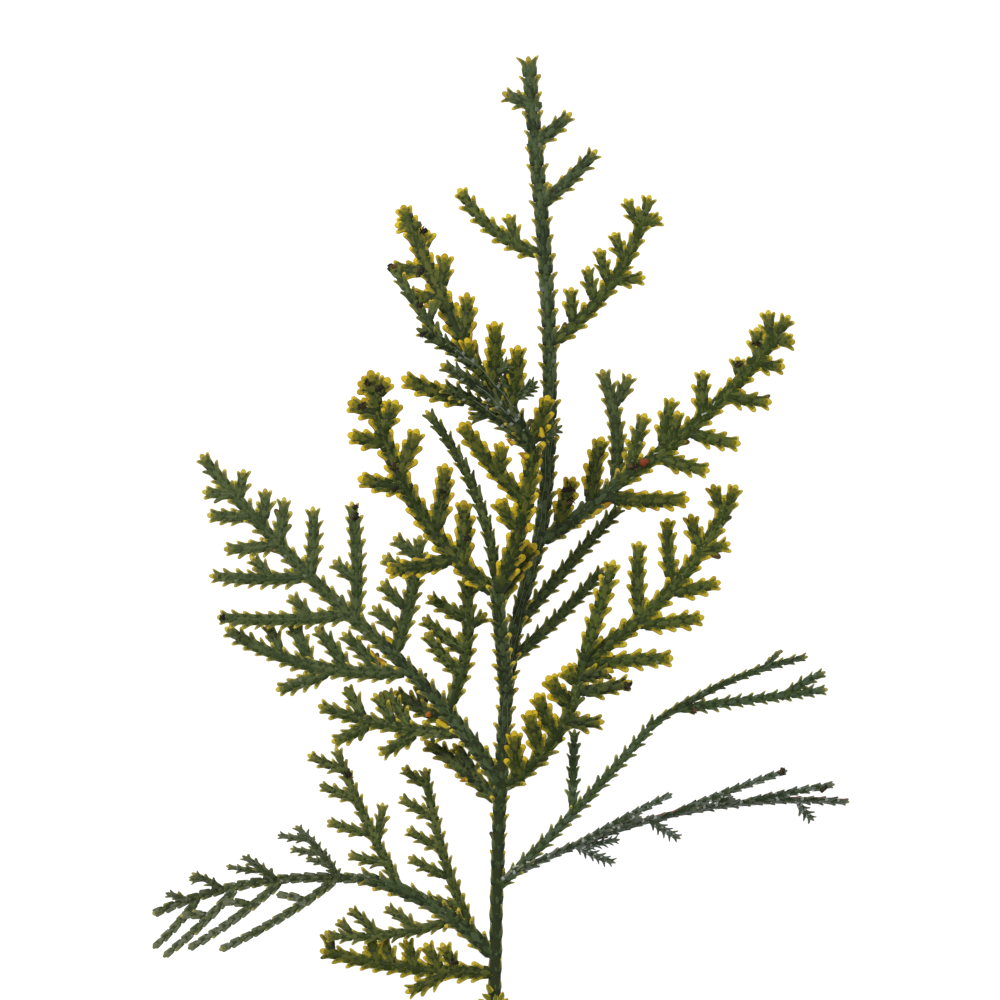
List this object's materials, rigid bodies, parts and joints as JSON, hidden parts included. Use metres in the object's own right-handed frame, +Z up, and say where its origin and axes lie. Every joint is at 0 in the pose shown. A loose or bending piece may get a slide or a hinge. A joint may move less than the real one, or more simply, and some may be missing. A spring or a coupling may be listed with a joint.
{
  "type": "cut cedar sprig",
  "caption": "Cut sprig of scale-leaved cedar: a slender leader with side boughs that end in flat, feathery sprays of toothed twigs, lying down.",
  "frame": {"origin": "middle of the sprig's footprint, on the surface that it lies on", "axes": "+Z up from that surface, +Y from the cut end towards the leader's tip, +X to the right seen from above"},
  "size_m": [0.1187, 0.1618, 0.0406],
  "materials": {
    "stem": "green stem clad in pressed scale leaves, satin",
    "foliage": "overlapping dark green scale leaves with yellow to amber edges, satin"
  },
  "bodies": {
    "root": {"bottom_left_spray": "foliage", "front_bough": "stem", "front_fan_spray": "foliage", "front_left_spray": "foliage", "front_middle_spray": "foliage", "front_right_twig": "foliage", "front_upper_bough": "stem", "leader": "stem", "left_bough": "stem", "left_inner_spray": "foliage", "left_low_twig": "foliage", "left_lower_spray": "foliage", "left_middle_spray": "foliage", "left_outer_spray": "foliage", "left_spray": "foliage", "left_under_twig": "foliage", "lower_left_bough": "stem", "lower_left_inner_spray": "foliage", "lower_left_low_spray": "foliage", "lower_left_spray": "foliage", "lower_left_upper_spray": "foliage", "lower_right_bough": "stem", "lower_right_long_spray": "foliage", "lower_right_twig": "foliage", "lower_right_upper_spray": "foliage", "right_back_low_spray": "foliage", "right_back_spray": "foliage", "right_high_back_spray": "foliage", "right_high_bough": "stem", "right_high_spray": "foliage", "right_mid_bough": "stem", "right_mid_low_twig": "foliage", "right_mid_spray": "foliage", "right_mid_twig": "foliage", "top_left_spray": "foliage", "top_left_twig": "foliage", "upper_left_twig": "foliage", "upper_right_spray": "foliage"}
  },
  "joints": []
}
